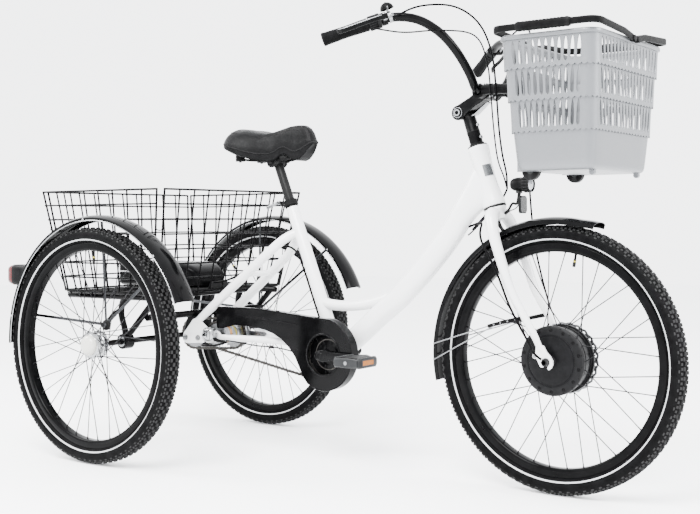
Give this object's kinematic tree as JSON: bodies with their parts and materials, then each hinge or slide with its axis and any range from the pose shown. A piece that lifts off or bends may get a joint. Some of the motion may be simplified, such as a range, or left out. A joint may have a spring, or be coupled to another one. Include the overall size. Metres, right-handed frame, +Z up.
{
  "type": "adult tricycle",
  "caption": "Low-step adult tricycle with front hub motor, oval down tube, swept-back handlebar, wire basket over the rear axle and a lift-off shopping basket in front.",
  "frame": {"origin": "on the ground at the middle of the bounding box", "axes": "+X forwards, +Y to the rider's left, +Z up"},
  "size_m": [1.9424, 0.8002, 1.1974],
  "materials": {
    "frame_white": "gloss",
    "tyre_grey": "matt",
    "rim_metal": "satin",
    "hub_metal": "satin",
    "motor_grey": "satin",
    "steel": "satin",
    "chrome": "polished",
    "black_paint": "satin",
    "fender_grey": "gloss",
    "guard_plastic": "satin",
    "basket_wire": "satin",
    "battery_black": "gloss",
    "grip_rubber": "matt",
    "saddle_skin": "satin",
    "basket_silver": "satin",
    "dark_plastic": "matt",
    "lamp_red": "gloss",
    "lamp_body": "satin",
    "cable_black": "satin",
    "chain_steel": "satin"
  },
  "bodies": {
    "frame": {"head_tube": "frame_white", "down_tube": "frame_white", "seat_tube": "frame_white", "brace_tube": "frame_white", "seat_stays": "frame_white", "chain_stays": "frame_white", "bottom_bracket_shell": "frame_white", "rear_subframe": "black_paint", "axle_bearings": "black_paint", "rear_basket_panels": "basket_wire", "rear_basket_floor": "basket_wire", "rear_fenders": "fender_grey", "rear_fender_stays": "steel", "tail_light": "lamp_red", "chainguard": "guard_plastic", "drive_chains": "chain_steel", "hub_brake": "steel", "shift_bell_crank": "chrome", "rear_cables": "cable_black"},
    "battery": {"battery_case": "battery_black"},
    "seat_clamp": {"seat_clamp_lever": "chrome"},
    "steering": {"fork": "frame_white", "fork_eyelets": "frame_white", "front_fender": "fender_grey", "front_fender_stays": "steel", "headlight": "lamp_body", "brake_caliper": "steel", "motor_axle": "steel", "stem_riser": "black_paint", "fork_cables": "cable_black"},
    "front_wheel": {"front_tyre": "tyre_grey", "front_rim": "rim_metal", "hub_motor": "motor_grey", "brake_rotor": "steel"},
    "stem": {"stem_arm": "black_paint", "handlebar": "black_paint", "grips": "grip_rubber", "bar_fittings": "dark_plastic", "basket_carrier": "dark_plastic"},
    "stem_release": {"stem_lever": "chrome"},
    "lever_right": {"brake_lever_right": "chrome"},
    "lever_left": {"brake_lever_left": "chrome"},
    "shifter": {"twist_shifter": "dark_plastic"},
    "crank": {"crankset": "black_paint"},
    "pedal_r": {"pedal_right": "dark_plastic"},
    "pedal_l": {"pedal_left": "dark_plastic"},
    "middle_hub": {"geared_hub": "hub_metal"},
    "drive_axle": {"rear_axle": "black_paint", "rear_tyre_right": "tyre_grey", "rear_rim_right": "rim_metal", "rear_hub_right": "hub_metal"},
    "left_wheel": {"rear_tyre_left": "tyre_grey", "rear_rim_left": "rim_metal", "rear_hub_left": "hub_metal"},
    "seat": {"seatpost": "black_paint", "saddle": "saddle_skin"},
    "basket": {"front_basket": "basket_silver"},
    "handle_r": {"basket_handle_right": "dark_plastic"},
    "handle_l": {"basket_handle_left": "dark_plastic"},
    "rollers": {"basket_rollers": "dark_plastic"}
  },
  "joints": [
    {"name": "steering_turn", "type": "hinge", "parent": "frame", "child": "steering", "pos_m": [0.45735, 0, 0.707], "axis": [-0.309, 0, 0.9511], "range_deg": [-45, 45]},
    {"name": "front_wheel_spin", "type": "hinge", "parent": "steering", "child": "front_wheel", "pos_m": [0.63215, 0, 0.3295], "axis": [0, 1, 0], "continuous": true},
    {"name": "stem_tilt", "type": "hinge", "parent": "steering", "child": "stem", "pos_m": [0.36435, 0, 0.947], "axis": [0, -1, 0], "range_deg": [0, 25]},
    {"name": "stem_lever_turn", "type": "hinge", "parent": "stem", "child": "stem_release", "pos_m": [0.44195, 0, 0.9714], "axis": [0, -1, 0], "range_deg": [0, 80]},
    {"name": "shifter_twist", "type": "hinge", "parent": "stem", "child": "shifter", "pos_m": [0.29015, -0.2836, 1.1486], "axis": [-0.7348, -0.5924, -0.3304], "range_deg": [-40, 40]},
    {"name": "brake_lever_right_pull", "type": "hinge", "parent": "stem", "child": "lever_right", "pos_m": [0.32847, -0.29507, 1.15661], "axis": [0.2586, 0.2057, -0.9438], "range_deg": [0, 9], "stiffness_Nm_per_rad": 0.6, "springref_deg": -11.46},
    {"name": "brake_lever_left_pull", "type": "hinge", "parent": "stem", "child": "lever_left", "pos_m": [0.30936, 0.31047, 1.14803], "axis": [-0.2586, 0.2057, 0.9438], "range_deg": [0, 9], "stiffness_Nm_per_rad": 0.6, "springref_deg": -11.46},
    {"name": "drive_axle_spin", "type": "hinge", "parent": "frame", "child": "drive_axle", "pos_m": [-0.62865, 0, 0.3295], "axis": [0, 1, 0], "continuous": true},
    {"name": "left_wheel_spin", "type": "hinge", "parent": "frame", "child": "left_wheel", "pos_m": [-0.62865, 0.3671, 0.3295], "axis": [0, 1, 0], "continuous": true},
    {"name": "middle_hub_spin", "type": "hinge", "parent": "frame", "child": "middle_hub", "pos_m": [-0.46365, 0, 0.338], "axis": [0, 1, 0], "continuous": true},
    {"name": "crank_spin", "type": "hinge", "parent": "frame", "child": "crank", "pos_m": [-0.04465, 0, 0.306], "axis": [0, 1, 0], "continuous": true},
    {"name": "pedal_right_spin", "type": "hinge", "parent": "crank", "child": "pedal_r", "pos_m": [0.11535, -0.13, 0.306], "axis": [0, 1, 0], "continuous": true},
    {"name": "pedal_left_spin", "type": "hinge", "parent": "crank", "child": "pedal_l", "pos_m": [-0.20465, 0.13, 0.306], "axis": [0, 1, 0], "continuous": true},
    {"name": "seatpost_slide", "type": "slide", "parent": "frame", "child": "seat", "axis": [-0.3745, 0, 0.9272], "range_m": [-0.06, 0.08]},
    {"name": "seat_clamp_turn", "type": "hinge", "parent": "frame", "child": "seat_clamp", "pos_m": [-0.24802, -0.012, 0.72535], "axis": [0, 0, 1], "range_deg": [0, 50]},
    {"name": "battery_lift", "type": "slide", "parent": "frame", "child": "battery", "axis": [0, 0, 1], "range_m": [0, 0.1]},
    {"name": "front_basket_lift", "type": "slide", "parent": "stem", "child": "basket", "axis": [0, 0, 1], "range_m": [0, 0.15]},
    {"name": "handle_right_swing", "type": "hinge", "parent": "basket", "child": "handle_r", "pos_m": [0.70335, -0.012, 1.094], "axis": [-1, 0, 0], "range_deg": [0, 78]},
    {"name": "handle_left_swing", "type": "hinge", "parent": "basket", "child": "handle_l", "pos_m": [0.70335, 0.012, 1.094], "axis": [1, 0, 0], "range_deg": [0, 78]},
    {"name": "rollers_spin", "type": "hinge", "parent": "basket", "child": "rollers", "pos_m": [0.62535, 0, 0.788], "axis": [0, 1, 0], "continuous": true}
  ],
  "couplings": [
    {"joint": "middle_hub_spin", "follows": "drive_axle_spin", "ratio": 1},
    {"joint": "crank_spin", "follows": "drive_axle_spin", "ratio": 0.47368}
  ]
}
